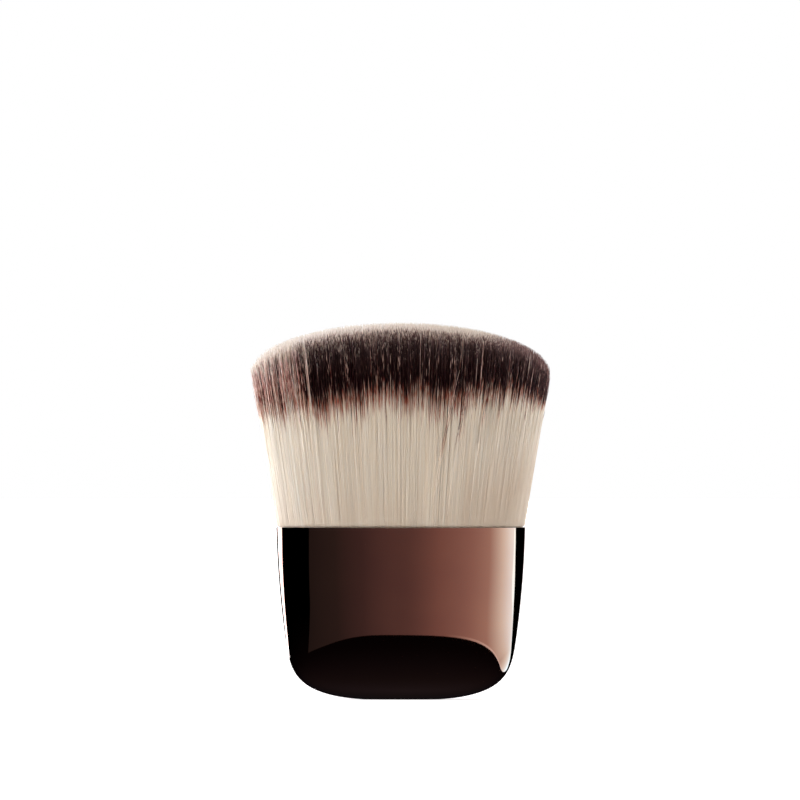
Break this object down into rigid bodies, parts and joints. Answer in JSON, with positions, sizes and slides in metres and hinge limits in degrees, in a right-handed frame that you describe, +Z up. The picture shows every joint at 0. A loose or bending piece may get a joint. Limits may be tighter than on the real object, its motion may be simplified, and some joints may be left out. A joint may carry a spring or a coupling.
{
  "type": "powder brush",
  "caption": "Palm-held powder brush: a broad domed tuft of two-tone filaments in an oval, mirror-finished metal handle with a rounded base",
  "frame": {"origin": "centre of the small flat under the handle, at the bottom centre of the bounding box", "axes": "+Z up from the handle to the tuft, +X along the brush's width, -Y towards the front face"},
  "size_m": [0.0604, 0.0246, 0.0751],
  "materials": {
    "polished_bronze": "mirror-polished dark bronze plating under clear lacquer",
    "cast_zinc": "as cast",
    "moulded_plastic": "as moulded",
    "cured_epoxy": "cured clear amber",
    "drawn_aluminium": "as drawn",
    "filament": "fine tapered synthetic filament, cream with a dark brown band below cream tips"
  },
  "bodies": {
    "root": {"handle_shell": "polished_bronze", "weight_slug": "cast_zinc", "core_block": "moulded_plastic", "epoxy_bed": "cured_epoxy", "ferrule_cup": "drawn_aluminium", "tuft_row_1": "filament", "tuft_row_2": "filament", "tuft_row_3": "filament", "tuft_row_4": "filament", "tuft_row_5": "filament", "tuft_row_6": "filament", "tuft_row_7": "filament"}
  },
  "joints": []
}
